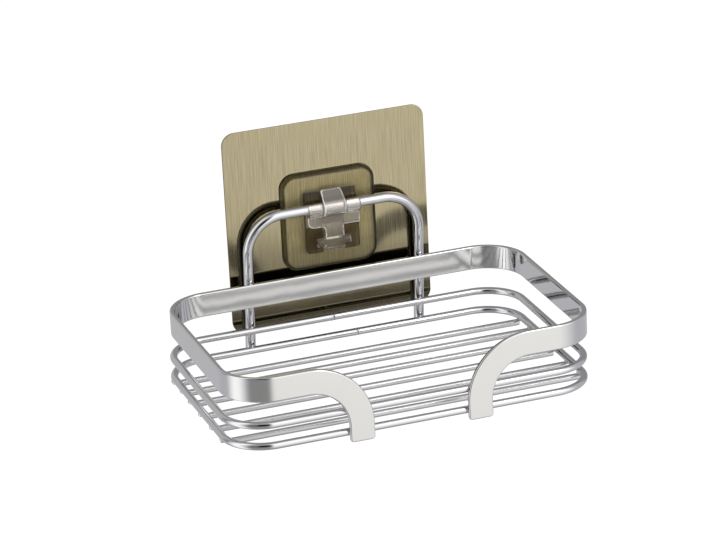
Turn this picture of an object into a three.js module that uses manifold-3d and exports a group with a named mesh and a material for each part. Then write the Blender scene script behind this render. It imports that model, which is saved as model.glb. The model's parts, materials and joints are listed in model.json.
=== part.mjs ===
// A wire soap dish that hangs on a stick-on wall plate.
//
// A thin square plate sticks to the wall and carries a clear moulded clip. The bar of a bent wire hanger lies in the
// clip's two hooks, locked by a small flip latch. The hanger's legs carry the basket: a flat rim band, two wire rings
// and six floor wires. The legs lean in towards the wall, so their ends rest on the plate and hold the basket level.
//
// Units are millimetres. The origin is the centre of the adhesive's back face: +X is to the right for someone facing
// the wall, +Y points into the wall and +Z is up. A stand-off is a distance out from the wall, so y = -standOff.
import * as THREE from 'three';
import { mergeVertices } from 'three/addons/utils/BufferGeometryUtils.js';
import Module from 'manifold-3d';

const wasm = await Module();
wasm.setup();

// Wall plate
const PLATE_SIZE = 80;
const PLATE_CORNER = 5;
const PLATE_THICKNESS = 0.6;
const ADHESIVE_THICKNESS = 0.8;
const ADHESIVE_INSET = 0.4;
const PLATE_FRONT = ADHESIVE_THICKNESS + PLATE_THICKNESS;

// Gaps left between pieces: welded or glued faces, and pieces that move on each other
const JOIN_GAP = 0.05;
const RUNNING_GAP = 0.3;

// Hanger: one round wire, a bar between two legs
const BAR_STANDOFF = PLATE_FRONT + 7;
const BAR_Z = 7.7;
const HANGER_WIRE = 4;
const HANGER_LEG_SPACING = 68;
const HANGER_BEND = 14;
const HANGER_LEAN = THREE.MathUtils.degToRad(5.5);
const HANGER_TAIL = 0.9;

// Rim band: a flat strip round the basket, open at the front
const RIM_WIDTH = 140.5;
const RIM_DEPTH = 90;
const RIM_CORNER = 17;
const RIM_HEIGHT = 9.4;
const RIM_THICKNESS = 1.8;
const RIM_TOP = -17.8;
const FRONT_GAP = 36;
const FRONT_BEND = 24;
const FRONT_LEG_END = -48.4;
const FRONT_LEG_CORNER = 1;

// Wire rings and floor wires
const RING_WIRE = 2.8;
const RING_WIDTH = 141.5;
const UPPER_RING_Z = -37.1;
const LOWER_RING_Z = -45.2;
const FLOOR_WIRE = 2.5;
const FLOOR_WIRE_LENGTH = 136.6;
const FLOOR_WIRE_OFFSET = 0.6;
const FLOOR_WIRE_STEPS = [12.4, 10.3, 11, 12.7, 12.8, 12.4];

// Clip: pad, block with two hooks and two ears, and a T-shaped latch. The latch's crossbar lies before the block, under
// the hooks, and its stem goes down between the ears.
const PAD_WIDTH = 37.6;
const PAD_HEIGHT = 38.6;
const PAD_Z = 1.1;
const PAD_CORNER = 6;
const PAD_THICKNESS = 2.6;
const PAD_BEVEL = 1.9;
const BLOCK_WIDTH = 20.6;
const BLOCK_TOP = 13.4;
const BLOCK_BOTTOM = 0;
const CRADLE_BACK_RISE = 2.6;
const HOOK_BORE = HANGER_WIRE / 2 + RUNNING_GAP;
const HOOK_WALL = 0.9;
const HOOK_LIP_ANGLE = THREE.MathUtils.degToRad(45);
const FACE_STANDOFF = PLATE_FRONT + 7.4;
const LATCH_SLOT = 9.2;
const EAR_THICKNESS = 6;
const EAR_TOP = -0.6;
const EAR_BOTTOM = -10.6;
const EAR_STANDOFF = PLATE_FRONT + 6.6;
const EAR_CORNER = 1.2;
const STRAP_WIDTH = LATCH_SLOT - 2 * RUNNING_GAP;
const STRAP_WALL = 1.3;
const CROSSBAR_LEFT_CORNER = 2.4;
const CROSSBAR_RIGHT_CORNER = 0.4;
const CROSSBAR_FILLET = 1.4;
const STEM_WIDTH = 7.4;
const STEM_BACK = PLATE_FRONT + 5.5;
const STEM_FLARE = 1.4;
const STEM_BOTTOM = -9;
const TAB_WIDTH = 8.2;
const TAB_LENGTH = 5.6;
const TAB_SLOPE = THREE.MathUtils.degToRad(40);
const TAB_CORNER = 1.4;
const TRUNNION_RADIUS = 1.8;
const TRUNNION_STANDOFF = PLATE_FRONT + 6;
const TRUNNION_Z = -6.7;
const TRUNNION_REACH = 2.4;

// How finely round shapes are stepped
const ARC_STEPS = 12;
const WIRE_SIDES = 16;
const BEVEL_STEPS = 3;

// How far a cutting shape runs past the faces it cuts, and how close corners are to count as one
const CUT_MARGIN = 1;
const MERGE_DISTANCE = 1e-4;

const QUARTER = Math.PI / 2;

// Stand-off of the centre line of a hanger leg at height z.
const legStandOff = (z) => BAR_STANDOFF - (BAR_Z - z) * Math.tan(HANGER_LEAN);

// Stand-off at height z of a surface, or of the axis of a round wire, that is welded to the front of a hanger leg.
const weldedStandOff = (z, radius) =>
  legStandOff(z) + (HANGER_WIRE / 2 + radius) / Math.cos(HANGER_LEAN) + JOIN_GAP;

const RIM_BACK = weldedStandOff(RIM_TOP, 0);
const RIM_FRONT = RIM_BACK + RIM_DEPTH;
const RING_FRONT = RIM_FRONT - RIM_THICKNESS - JOIN_GAP - RING_WIRE / 2;
const PAD_FRONT = PLATE_FRONT + JOIN_GAP + PAD_THICKNESS;
const HOOK_FRONT = BAR_STANDOFF + HOOK_BORE + HOOK_WALL;
const BLOCK_FRONT = STEM_BACK - RUNNING_GAP;
const CROSSBAR_TOP = BAR_Z - HOOK_BORE - HOOK_WALL - RUNNING_GAP;

const chrome = { color: 0xc9cacd, metalness: 1, roughness: 0.12 };
const satinSteel = { color: 0xcfcfca, metalness: 1, roughness: 0.34 };
const champagneMetal = { color: 0xb0a582, metalness: 0.8, roughness: 0.4 };
const clearPlastic = { color: 0xd9d8cf, roughness: 0.1, metalness: 0, transparent: true, opacity: 0.4 };
const clearGel = { color: 0xe6e6e0, roughness: 0.3, metalness: 0, transparent: true, opacity: 0.6 };

const dish = new THREE.Group();

function addPiece(name, geometry, finish) {
  const piece = new THREE.Mesh(geometry, new THREE.MeshStandardMaterial(finish));
  piece.name = name;
  dish.add(piece);
}

// Joining and cutting

function toSolid(geometry) {
  const loose = geometry.index ? geometry.toNonIndexed() : geometry;
  const bare = new THREE.BufferGeometry();
  bare.setAttribute('position', loose.getAttribute('position'));
  const merged = mergeVertices(bare, MERGE_DISTANCE);
  const vertProperties = merged.getAttribute('position').array;
  const triVerts = new Uint32Array(merged.index.array);
  return new wasm.Manifold(new wasm.Mesh({ numProp: 3, vertProperties, triVerts }));
}

function toGeometry(solid) {
  const mesh = solid.getMesh();
  const geometry = new THREE.BufferGeometry();
  geometry.setAttribute('position', new THREE.BufferAttribute(mesh.vertProperties, 3));
  geometry.setIndex(new THREE.BufferAttribute(mesh.triVerts, 1));
  const flat = geometry.toNonIndexed();
  flat.computeVertexNormals();
  return flat;
}

// Extrusions of plan, front and side view outlines

function extrude(outline, depth, bevel = 0) {
  return new THREE.ExtrudeGeometry(outline, {
    depth,
    curveSegments: ARC_STEPS / 2,
    bevelEnabled: bevel > 0,
    bevelSize: bevel,
    bevelOffset: -bevel,
    bevelThickness: bevel,
    bevelSegments: BEVEL_STEPS,
  });
}

// An outline drawn in (x, y), raised from height z.
function extrudeUp(outline, z, height) {
  return extrude(outline, height).translate(0, 0, z);
}

// An outline drawn in (x, z), grown away from the wall between two stand-offs.
function extrudeOut(outline, from, to) {
  const turn = new THREE.Matrix4().makeRotationX(QUARTER);
  return extrude(outline, to - from).applyMatrix4(turn).translate(0, -from, 0);
}

// An outline drawn in (stand-off, z), stretched across the dish between two x values.
function extrudeAcross(outline, left, right) {
  const outward = new THREE.Vector3(0, -1, 0);
  const upward = new THREE.Vector3(0, 0, 1);
  const leftward = new THREE.Vector3(-1, 0, 0);
  const turn = new THREE.Matrix4().makeBasis(outward, upward, leftward);
  return extrude(outline, right - left).applyMatrix4(turn).translate(right, 0, 0);
}

function box(left, right, from, to, bottom, top) {
  const block = new THREE.BoxGeometry(right - left, to - from, top - bottom);
  return block.translate((left + right) / 2, -(from + to) / 2, (bottom + top) / 2);
}

function roundedRectangle(width, height, radius, centreY = 0) {
  const right = width / 2;
  const top = centreY + height / 2;
  const bottom = centreY - height / 2;
  const shape = new THREE.Shape();
  shape.moveTo(right, bottom + radius);
  shape.absarc(right - radius, top - radius, radius, 0, QUARTER);
  shape.absarc(-right + radius, top - radius, radius, QUARTER, 2 * QUARTER);
  shape.absarc(-right + radius, bottom + radius, radius, 2 * QUARTER, 3 * QUARTER);
  shape.absarc(right - radius, bottom + radius, radius, 3 * QUARTER, 4 * QUARTER);
  return shape;
}

// Round wires

// The centre line of a bent wire, with a step at each of its points and nowhere else.
class WirePath extends THREE.Curve {
  constructor(points, closed) {
    super();
    this.points = points;
    this.steps = closed ? points.length : points.length - 1;
  }

  getUtoTmapping(u) {
    return u;
  }

  getPoint(t, target = new THREE.Vector3()) {
    const place = THREE.MathUtils.clamp(t, 0, 1) * this.steps;
    const index = Math.min(Math.floor(place), this.steps - 1);
    const next = this.points[(index + 1) % this.points.length];
    return target.lerpVectors(this.points[index], next, place - index);
  }
}

// Points along an arc of a wire's bend, both ends included, placed in space by the function given.
function bendPoints(centreX, centreY, radius, startAngle, endAngle, place) {
  const points = [];
  for (let step = 0; step <= ARC_STEPS; step += 1) {
    const angle = THREE.MathUtils.lerp(startAngle, endAngle, step / ARC_STEPS);
    points.push(place(centreX + radius * Math.cos(angle), centreY + radius * Math.sin(angle)));
  }
  return points;
}

// Wall plate

function buildPlate() {
  const sheet = PLATE_SIZE - 2 * ADHESIVE_INSET;
  const adhesive = roundedRectangle(sheet, sheet, PLATE_CORNER - ADHESIVE_INSET);
  addPiece('adhesive_sheet', extrudeOut(adhesive, 0, ADHESIVE_THICKNESS), clearGel);

  const plate = roundedRectangle(PLATE_SIZE, PLATE_SIZE, PLATE_CORNER);
  addPiece('backing_plate', extrudeOut(plate, ADHESIVE_THICKNESS + JOIN_GAP, PLATE_FRONT), champagneMetal);
}

// Hanger: its bar lies along X, and its legs lean in towards the wall

function buildHanger() {
  // A point of the hanger's own plane: x across, and how far down the leaning legs.
  const place = (x, down) => new THREE.Vector3(
    x,
    -(BAR_STANDOFF - down * Math.sin(HANGER_LEAN)),
    BAR_Z - down * Math.cos(HANGER_LEAN),
  );
  const legX = HANGER_LEG_SPACING / 2;
  const bendX = legX - HANGER_BEND;
  const legLength = (BAR_Z - LOWER_RING_Z + HANGER_TAIL) / Math.cos(HANGER_LEAN);
  const points = [
    place(-legX, legLength),
    ...bendPoints(-bendX, HANGER_BEND, HANGER_BEND, 2 * QUARTER, 3 * QUARTER, place),
    ...bendPoints(bendX, HANGER_BEND, HANGER_BEND, 3 * QUARTER, 4 * QUARTER, place),
    place(legX, legLength),
  ];
  const path = new WirePath(points, false);
  const section = new THREE.Shape().absarc(0, 0, HANGER_WIRE / 2, 0, 4 * QUARTER);
  const wire = new THREE.ExtrudeGeometry(section, {
    steps: path.steps,
    curveSegments: WIRE_SIDES / 2,
    extrudePath: path,
  });
  addPiece('hanger', wire, chrome);
}

// Rim band: the strip's loop in plan, joined to two front arms that curve down edgewise into legs

function rimLoop(armX) {
  const side = RIM_WIDTH / 2;
  const inner = RIM_CORNER - RIM_THICKNESS;
  const corners = [
    [side - RIM_CORNER, -RIM_FRONT + RIM_CORNER, 3 * QUARTER],
    [side - RIM_CORNER, -RIM_BACK - RIM_CORNER, 0],
    [-side + RIM_CORNER, -RIM_BACK - RIM_CORNER, QUARTER],
    [-side + RIM_CORNER, -RIM_FRONT + RIM_CORNER, 2 * QUARTER],
  ];
  const shape = new THREE.Shape();
  shape.moveTo(armX, -RIM_FRONT);
  shape.lineTo(side - RIM_CORNER, -RIM_FRONT);
  for (const [x, y, angle] of corners) shape.absarc(x, y, RIM_CORNER, angle, angle + QUARTER);
  shape.lineTo(-armX, -RIM_FRONT);
  shape.lineTo(-armX, -RIM_FRONT + RIM_THICKNESS);
  for (const [x, y, angle] of corners.reverse()) shape.absarc(x, y, inner, angle + QUARTER, angle, true);
  shape.lineTo(armX, -RIM_FRONT + RIM_THICKNESS);
  return extrudeUp(shape, RIM_TOP - RIM_HEIGHT, RIM_HEIGHT);
}

function frontArm(side, armX) {
  const overlap = RIM_CORNER / 4;
  const centreZ = RIM_TOP - FRONT_BEND;
  const innerBend = FRONT_BEND - RIM_HEIGHT;
  const legAngle = side > 0 ? 2 * QUARTER : 0;
  const outerLegX = armX - FRONT_BEND;
  const innerLegX = outerLegX + RIM_HEIGHT;
  const shape = new THREE.Shape();
  shape.moveTo(side * (armX + overlap), RIM_TOP);
  shape.lineTo(side * armX, RIM_TOP);
  shape.absarc(side * armX, centreZ, FRONT_BEND, QUARTER, legAngle, side < 0);
  shape.lineTo(side * outerLegX, FRONT_LEG_END + FRONT_LEG_CORNER);
  shape.lineTo(side * (outerLegX + FRONT_LEG_CORNER), FRONT_LEG_END);
  shape.lineTo(side * (innerLegX - FRONT_LEG_CORNER), FRONT_LEG_END);
  shape.lineTo(side * innerLegX, FRONT_LEG_END + FRONT_LEG_CORNER);
  shape.absarc(side * armX, centreZ, innerBend, legAngle, QUARTER, side > 0);
  shape.lineTo(side * (armX + overlap), RIM_TOP - RIM_HEIGHT);
  return extrudeOut(shape, RIM_FRONT - RIM_THICKNESS, RIM_FRONT);
}

function buildRim() {
  const armX = FRONT_GAP / 2 + FRONT_BEND;
  const loop = toSolid(rimLoop(armX));
  const band = loop.add(toSolid(frontArm(-1, armX))).add(toSolid(frontArm(1, armX)));
  addPiece('rim_band', toGeometry(band), satinSteel);
}

// Wire rings, welded to the hanger's legs behind and to the rim's legs in front

function buildRing(name, z) {
  const radius = RING_WIRE / 2;
  const bend = RIM_CORNER - radius;
  const sideX = RING_WIDTH / 2 - radius - bend;
  const backY = -weldedStandOff(z, radius) - bend;
  const frontY = -RING_FRONT + bend;
  const place = (x, y) => new THREE.Vector3(x, y, z);
  const points = [
    place(0, backY + bend),
    ...bendPoints(-sideX, backY, bend, QUARTER, 2 * QUARTER, place),
    ...bendPoints(-sideX, frontY, bend, 2 * QUARTER, 3 * QUARTER, place),
    ...bendPoints(sideX, frontY, bend, 3 * QUARTER, 4 * QUARTER, place),
    ...bendPoints(sideX, backY, bend, 4 * QUARTER, 5 * QUARTER, place),
  ];
  const path = new WirePath(points, true);
  addPiece(name, new THREE.TubeGeometry(path, path.steps, radius, WIRE_SIDES, true), chrome);
}

// Floor wires, welded across the underside of the lower ring

function buildFloor() {
  const radius = FLOOR_WIRE / 2;
  const z = LOWER_RING_Z - RING_WIRE / 2 - radius - JOIN_GAP;
  let standOff = weldedStandOff(LOWER_RING_Z, RING_WIRE / 2);
  FLOOR_WIRE_STEPS.forEach((step, index) => {
    standOff += step;
    const wire = new THREE.CylinderGeometry(radius, radius, FLOOR_WIRE_LENGTH, WIRE_SIDES);
    wire.rotateZ(QUARTER).translate(FLOOR_WIRE_OFFSET, -standOff, z);
    addPiece(`floor_wire_${index + 1}`, wire, chrome);
  });
}

// Clip base: bevelled pad, block with a ramp behind the bar, two hooks round the bar and two ears below

function padSolid() {
  // The bevelled blank is twice as thick as the pad, and the half behind the plate's face is cut away.
  const outline = roundedRectangle(PAD_WIDTH, PAD_HEIGHT, PAD_CORNER, PAD_Z);
  const blank = extrude(outline, 2 * (PAD_THICKNESS - PAD_BEVEL), PAD_BEVEL);
  blank.rotateX(QUARTER).translate(0, -PLATE_FRONT - JOIN_GAP + PAD_THICKNESS - PAD_BEVEL, 0);
  const front = box(-PAD_WIDTH, PAD_WIDTH, PLATE_FRONT + JOIN_GAP, PAD_FRONT + CUT_MARGIN, -PAD_HEIGHT, PAD_HEIGHT);
  return toSolid(blank).intersect(toSolid(front));
}

function hookProfile() {
  const root = PAD_FRONT - PAD_THICKNESS / 2;
  const outer = HOOK_BORE + HOOK_WALL;
  const footAngle = Math.acos((BAR_STANDOFF - BLOCK_FRONT) / outer) - 2 * QUARTER;
  const shape = new THREE.Shape();
  shape.moveTo(root, BLOCK_BOTTOM);
  shape.lineTo(BLOCK_FRONT, BLOCK_BOTTOM);
  shape.absarc(BAR_STANDOFF, BAR_Z, outer, footAngle, HOOK_LIP_ANGLE);
  shape.absarc(BAR_STANDOFF, BAR_Z, HOOK_BORE, HOOK_LIP_ANGLE, -2 * QUARTER, true);
  shape.lineTo(BAR_STANDOFF - HOOK_BORE, BAR_Z + CRADLE_BACK_RISE);
  shape.lineTo(PAD_FRONT, BLOCK_TOP);
  shape.lineTo(root, BLOCK_TOP);
  return shape;
}

function earSolid(left, right) {
  const root = PAD_FRONT - PAD_THICKNESS / 2;
  const rootTop = BLOCK_BOTTOM + CUT_MARGIN;
  const shape = new THREE.Shape();
  shape.moveTo(root, EAR_BOTTOM);
  shape.lineTo(EAR_STANDOFF - EAR_CORNER, EAR_BOTTOM);
  shape.absarc(EAR_STANDOFF - EAR_CORNER, EAR_BOTTOM + EAR_CORNER, EAR_CORNER, 3 * QUARTER, 4 * QUARTER);
  shape.lineTo(EAR_STANDOFF, EAR_TOP);
  shape.lineTo(BLOCK_FRONT, EAR_TOP);
  shape.lineTo(BLOCK_FRONT, rootTop);
  shape.lineTo(root, rootTop);
  return toSolid(extrudeAcross(shape, left, right));
}

function trunnion(radius, reach) {
  const pin = new THREE.CylinderGeometry(radius, radius, 2 * reach, WIRE_SIDES);
  return toSolid(pin.rotateZ(QUARTER).translate(0, -TRUNNION_STANDOFF, TRUNNION_Z));
}

function buildClipBase() {
  const side = BLOCK_WIDTH / 2;
  const earFace = side - EAR_THICKNESS;
  const slotBack = BAR_STANDOFF - HOOK_BORE - RUNNING_GAP;
  const hooks = toSolid(extrudeAcross(hookProfile(), -side, side));
  const slotBottom = BLOCK_BOTTOM - CUT_MARGIN;
  const slotTop = BLOCK_TOP + CUT_MARGIN;
  const slotFront = HOOK_FRONT + CUT_MARGIN;
  const slot = box(-LATCH_SLOT / 2, LATCH_SLOT / 2, slotBack, slotFront, slotBottom, slotTop);
  const sockets = trunnion(TRUNNION_RADIUS + RUNNING_GAP / 2, earFace + TRUNNION_REACH + RUNNING_GAP);
  const base = padSolid()
    .add(hooks)
    .add(earSolid(-side, -earFace))
    .add(earSolid(earFace, side))
    .subtract(toSolid(slot))
    .subtract(sockets);
  addPiece('clip_base', toGeometry(base), clearPlastic);
}

// Latch: a stem on two trunnions, a crossbar, a strap round the front of the bar and a sloping thumb tab

function latchProfile() {
  const bore = HOOK_BORE;
  const outer = bore + STRAP_WALL;
  const tangent = QUARTER - TAB_SLOPE;
  const tabStandOff = -TAB_LENGTH * Math.cos(TAB_SLOPE);
  const tabRise = TAB_LENGTH * Math.sin(TAB_SLOPE);
  const tabPoint = (radius) => [
    BAR_STANDOFF + radius * Math.cos(tangent) + tabStandOff,
    BAR_Z + radius * Math.sin(tangent) + tabRise,
  ];
  const stemAngle = -Math.acos((FACE_STANDOFF - BAR_STANDOFF) / outer);
  const shape = new THREE.Shape();
  shape.moveTo(STEM_BACK, STEM_BOTTOM);
  shape.lineTo(FACE_STANDOFF + STEM_FLARE, STEM_BOTTOM);
  shape.absarc(BAR_STANDOFF, BAR_Z, outer, stemAngle, tangent);
  shape.lineTo(...tabPoint(outer));
  shape.lineTo(...tabPoint(bore));
  shape.absarc(BAR_STANDOFF, BAR_Z, bore, tangent, -QUARTER, true);
  shape.lineTo(STEM_BACK, BAR_Z - bore);
  return shape;
}

// Front view of the latch: stem, crossbar with its left corner rounded more, strap, and a tab with rounded corners.
function latchFace() {
  const side = BLOCK_WIDTH / 2;
  const left = CROSSBAR_LEFT_CORNER;
  const right = CROSSBAR_RIGHT_CORNER;
  const fillet = CROSSBAR_FILLET;
  const stem = STEM_WIDTH / 2;
  const strap = STRAP_WIDTH / 2;
  const tab = TAB_WIDTH / 2;
  const strapTop = BAR_Z + HOOK_BORE + STRAP_WALL;
  const tabTop = BAR_Z + (HOOK_BORE + STRAP_WALL) * Math.cos(TAB_SLOPE) + TAB_LENGTH * Math.sin(TAB_SLOPE);
  const shape = new THREE.Shape();
  shape.moveTo(-stem, STEM_BOTTOM);
  shape.lineTo(stem, STEM_BOTTOM);
  shape.lineTo(stem, BLOCK_BOTTOM);
  shape.absarc(side - right, BLOCK_BOTTOM + right, right, 3 * QUARTER, 4 * QUARTER);
  shape.lineTo(side, CROSSBAR_TOP);
  shape.lineTo(strap, CROSSBAR_TOP);
  shape.lineTo(strap, strapTop);
  shape.lineTo(tab, strapTop + strap - tab);
  shape.absarc(tab - TAB_CORNER, tabTop - TAB_CORNER, TAB_CORNER, 0, QUARTER);
  shape.absarc(-tab + TAB_CORNER, tabTop - TAB_CORNER, TAB_CORNER, QUARTER, 2 * QUARTER);
  shape.lineTo(-tab, strapTop + strap - tab);
  shape.lineTo(-strap, strapTop);
  shape.lineTo(-strap, CROSSBAR_TOP);
  shape.lineTo(-side, CROSSBAR_TOP);
  shape.absarc(-side + left, BLOCK_BOTTOM + left, left, 2 * QUARTER, 3 * QUARTER);
  shape.absarc(-stem - fillet, BLOCK_BOTTOM - fillet, fillet, QUARTER, 0, true);
  return shape;
}

function buildClipLatch() {
  const side = BLOCK_WIDTH / 2;
  const reach = side - EAR_THICKNESS + TRUNNION_REACH;
  const profile = toSolid(extrudeAcross(latchProfile(), -side, side));
  const face = toSolid(extrudeOut(latchFace(), 0, HOOK_FRONT + TAB_LENGTH));
  const latch = profile.intersect(face).add(trunnion(TRUNNION_RADIUS, reach));
  addPiece('clip_latch', toGeometry(latch), clearPlastic);
}

buildPlate();
buildClipBase();
buildClipLatch();
buildHanger();
buildRim();
buildRing('upper_ring', UPPER_RING_Z);
buildRing('lower_ring', LOWER_RING_Z);
buildFloor();

export default dish;
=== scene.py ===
# %% [markdown]
# # A wire soap dish on a stick-on plate
#
# The dish is a small basket of chromed wire with a flat rim band. A bent wire hanger holds it, and the
# hanger's bar lies in a clear moulded clip on a thin brushed plate that sticks to a wall.
#
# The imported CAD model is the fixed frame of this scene. It has the right sizes and joints, but its
# round wires are made of flat facets, which polished metal would show at once. So each piece is made
# again here, finer, in exactly the place of the CAD part that it stands for.

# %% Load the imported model
import json
import math

import bmesh
import bpy
from mathutils import Matrix, Vector


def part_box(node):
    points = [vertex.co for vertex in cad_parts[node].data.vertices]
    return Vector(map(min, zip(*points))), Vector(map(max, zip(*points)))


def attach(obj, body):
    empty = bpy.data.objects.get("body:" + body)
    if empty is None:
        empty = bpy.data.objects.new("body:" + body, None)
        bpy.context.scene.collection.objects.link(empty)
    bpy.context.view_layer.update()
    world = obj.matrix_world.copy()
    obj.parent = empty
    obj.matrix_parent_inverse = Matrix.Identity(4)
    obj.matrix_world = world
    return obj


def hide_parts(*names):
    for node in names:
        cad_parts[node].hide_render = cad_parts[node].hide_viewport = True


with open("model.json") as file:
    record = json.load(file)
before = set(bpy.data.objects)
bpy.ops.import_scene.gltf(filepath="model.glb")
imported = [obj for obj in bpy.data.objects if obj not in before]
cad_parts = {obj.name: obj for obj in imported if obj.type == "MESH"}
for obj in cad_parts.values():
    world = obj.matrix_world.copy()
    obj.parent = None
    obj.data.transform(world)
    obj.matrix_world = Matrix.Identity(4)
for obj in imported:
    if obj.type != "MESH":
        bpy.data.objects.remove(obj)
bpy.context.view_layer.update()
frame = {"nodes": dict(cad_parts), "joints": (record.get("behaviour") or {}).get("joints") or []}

# %% [markdown]
# ## Measures
#
# Blender works in metres here, and a wire of 2.8 mm is easier to read as 2.8 * MM. The outer sizes of a
# part come from its CAD box, so they can't drift away from the CAD model. Only what a box doesn't tell,
# such as a bend radius, is written down as a number.

# %% Measures that the CAD boxes give
MM = 0.001
RIM_CORNER = 17 * MM
RIM_THICKNESS = 1.8 * MM
RIM_HEIGHT = 9.4 * MM
FRONT_GAP = 36 * MM
FRONT_BEND = 24 * MM
HANGER_BEND = 14 * MM
PLATE_CORNER = 5 * MM

rim_low, rim_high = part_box("rim_band")
hanger_low, hanger_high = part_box("hanger")
plate_low, plate_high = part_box("backing_plate")
gel_low, gel_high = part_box("adhesive_sheet")
clip_low, clip_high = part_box("clip_base")
swing = next(joint for joint in frame["joints"] if joint["name"] == "basket_swing")
bar_centre = Vector(swing["pos_m"])
hanger_radius = hanger_high.z - bar_centre.z
print("rim in mm:", [round(side / MM, 2) for side in rim_high - rim_low])
print("hanger wire in mm:", round(2 * hanger_radius / MM, 2))

# %% [markdown]
# ## Camera
#
# The photograph was taken with a long lens from a little above and a little to the left. The view was
# found by fitting the plate's and the basket's straight edges, and it is written as a turntable: an
# azimuth, an elevation, a slight roll and a distance from a target point.

# %% Place the camera
VIEW_AZIMUTH = math.radians(-18.54)
VIEW_ELEVATION = math.radians(21.37)
VIEW_ROLL = math.radians(-2.98)
VIEW_DISTANCE = 1.4037
VIEW_TARGET = Vector((0.00956, -0.0014, -0.02642))
FOCAL_PIXELS = 3685.2
PICTURE_WIDTH = 710
SENSOR_WIDTH = 36

scene = bpy.context.scene


def add_object(name, data):
    thing = bpy.data.objects.new(name, data)
    scene.collection.objects.link(thing)
    return thing


toward_camera = Vector((
    math.sin(VIEW_AZIMUTH) * math.cos(VIEW_ELEVATION),
    -math.cos(VIEW_AZIMUTH) * math.cos(VIEW_ELEVATION),
    math.sin(VIEW_ELEVATION),
))
level_right = Vector((math.cos(VIEW_AZIMUTH), math.sin(VIEW_AZIMUTH), 0))
level_up = toward_camera.cross(level_right)
camera_right = math.cos(VIEW_ROLL) * level_right + math.sin(VIEW_ROLL) * level_up
camera_up = math.cos(VIEW_ROLL) * level_up - math.sin(VIEW_ROLL) * level_right

camera_data = bpy.data.cameras.new("camera")
camera_data.sensor_width = SENSOR_WIDTH
camera_data.lens = FOCAL_PIXELS / PICTURE_WIDTH * SENSOR_WIDTH
camera = add_object("camera", camera_data)
turn = Matrix((camera_right, camera_up, toward_camera)).transposed().to_4x4()
camera.matrix_world = Matrix.Translation(VIEW_TARGET + toward_camera * VIEW_DISTANCE) @ turn
scene.camera = camera
scene.view_settings.view_transform = "Standard"
print("lens", round(camera_data.lens, 1), "mm")

# %% [markdown]
# ## Small helpers for nodes
#
# Every finish below is a small graph of nodes, and a few helpers keep the graphs short. The main one
# adds a node and fills its inputs: a plain value is set, and another node's output is linked. The rest
# are the kinds of node that come up all the time. Values that are the same all over a surface are set
# on the shader's own socket, because an exported model keeps those.

# %% Helpers for nodes
def feed(tree, socket, value):
    if isinstance(value, bpy.types.NodeSocket):
        tree.links.new(value, socket)
    else:
        socket.default_value = value


def add_node(tree, kind, settings=None, values=None):
    node = tree.nodes.new(kind)
    for name, value in (settings or {}).items():
        setattr(node, name, value)
    for name, value in (values or {}).items():
        feed(tree, node.inputs[name], value)
    return node


def maths(tree, operation, first, second=0.0):
    return add_node(tree, "ShaderNodeMath", {"operation": operation}, {0: first, 1: second}).outputs[0]


def remap(tree, value, low, high, to_low, to_high, smooth=False):
    kind = "SMOOTHSTEP" if smooth else "LINEAR"
    return add_node(tree, "ShaderNodeMapRange", {"interpolation_type": kind}, {
        "Value": value, "From Min": low, "From Max": high, "To Min": to_low, "To Max": to_high,
    }).outputs["Result"]


def blend_colours(tree, factor, first, second, way="MIX"):
    return add_node(tree, "ShaderNodeMix", {"data_type": "RGBA", "blend_type": way}, {
        "Factor": factor, "A": first, "B": second,
    }).outputs["Result"]


def noise(tree, place, scale, detail, roughness):
    return add_node(tree, "ShaderNodeTexNoise", values={
        "Vector": place, "Scale": scale, "Detail": detail, "Roughness": roughness,
    }).outputs["Fac"]


def bump(tree, height, strength, distance, normal=None):
    node = add_node(tree, "ShaderNodeBump", values={
        "Height": height, "Strength": strength, "Distance": distance,
    })
    if normal is not None:
        feed(tree, node.inputs["Normal"], normal)
    return node.outputs["Normal"]


def object_place(tree):
    return add_node(tree, "ShaderNodeTexCoord").outputs["Object"]


def stretched(tree, place, scale):
    return add_node(tree, "ShaderNodeMapping", values={"Vector": place, "Scale": scale}).outputs["Vector"]


def axes_of(tree, place):
    return add_node(tree, "ShaderNodeSeparateXYZ", values={"Vector": place}).outputs


print("node helpers ready")


# %% Helpers for groups and materials
def new_group(name, inputs, outputs):
    """A shader group. Outputs are numbers, and so are inputs, but for a vector where the value is None."""
    tree = bpy.data.node_groups.new(name, "ShaderNodeTree")
    for label, value in inputs.items():
        kind = "NodeSocketVector" if value is None else "NodeSocketFloat"
        socket = tree.interface.new_socket(label, in_out="INPUT", socket_type=kind)
        if value is not None:
            socket.default_value = value
    for label in outputs:
        tree.interface.new_socket(label, in_out="OUTPUT", socket_type="NodeSocketFloat")
    return tree, tree.nodes.new("NodeGroupInput").outputs, tree.nodes.new("NodeGroupOutput").inputs


def place_group(tree, group, values):
    return add_node(tree, "ShaderNodeGroup", {"node_tree": group}, values).outputs


def new_material(name, values):
    material = bpy.data.materials.new(name)
    material.use_nodes = True
    shader = material.node_tree.nodes["Principled BSDF"].inputs
    for label, value in values.items():
        shader[label].default_value = value
    return material, material.node_tree, shader


print("group and material helpers ready")

# %% [markdown]
# ## Studio
#
# The photograph shows the dish cut out on plain white. A white floor and a white world give that.
# Camera, mirror and glass rays see the floor's glow and the white world; other rays get the world at
# the level that lights the dish.

# %% White world and floor
WHITE = (1, 1, 1, 1)
FLOOR_Z = -0.62
FLOOR_REACH = 4.0
FLOOR_GREY = (0.5, 0.5, 0.5, 1)
FLOOR_GLOW = 0.66
SOFT_LEVEL = 0.7


def shown_rays(tree):
    path = add_node(tree, "ShaderNodeLightPath").outputs
    seen = maths(tree, "MAXIMUM", path["Is Camera Ray"], path["Is Glossy Ray"])
    return maths(tree, "MAXIMUM", seen, path["Is Transmission Ray"])


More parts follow.
